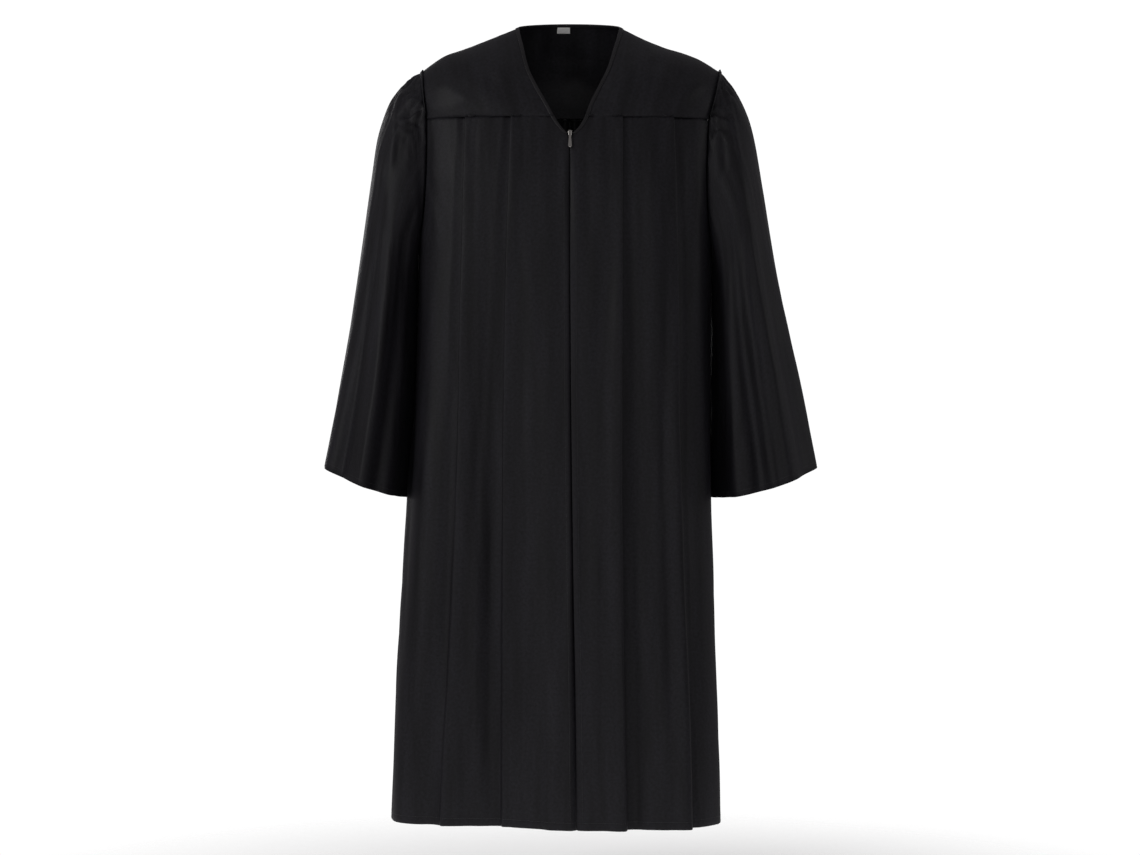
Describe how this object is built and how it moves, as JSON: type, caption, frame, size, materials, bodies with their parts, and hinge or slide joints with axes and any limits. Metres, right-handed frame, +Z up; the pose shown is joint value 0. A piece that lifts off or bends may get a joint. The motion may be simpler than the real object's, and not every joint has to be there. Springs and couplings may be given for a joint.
{
  "type": "graduation gown",
  "caption": "Black graduation gown filled out as worn, with a V neck, a zipped front, pleats below a smooth yoke, gathers in the back and wide open bell sleeves.",
  "frame": {"origin": "middle of the neck opening, level with the tops of the shoulders at the neck", "axes": "+X towards the wearer's left, -Y to the front, +Z up"},
  "size_m": [0.8086, 0.4424, 1.2952],
  "materials": {
    "cloth": "satin",
    "binding": "satin",
    "tape": "matte",
    "label": "satin",
    "metal": "polished"
  },
  "bodies": {
    "gown": {"front_yoke_right": "cloth", "front_yoke_left": "cloth", "back_yoke": "cloth", "front_panel_right": "cloth", "front_panel_left": "cloth", "back_panel": "cloth", "sleeve_right": "cloth", "sleeve_left": "cloth", "neck_binding": "binding", "zip_tape": "tape", "neck_label": "label", "zip_slider": "metal"},
    "zip_pull": {"zip_pull": "metal"}
  },
  "joints": [
    {"name": "zip_pull_hinge", "type": "hinge", "parent": "gown", "child": "zip_pull", "pos_m": [0, -0.12725, -0.18407], "axis": [-1, 0, 0], "range_deg": [0, 160]}
  ]
}
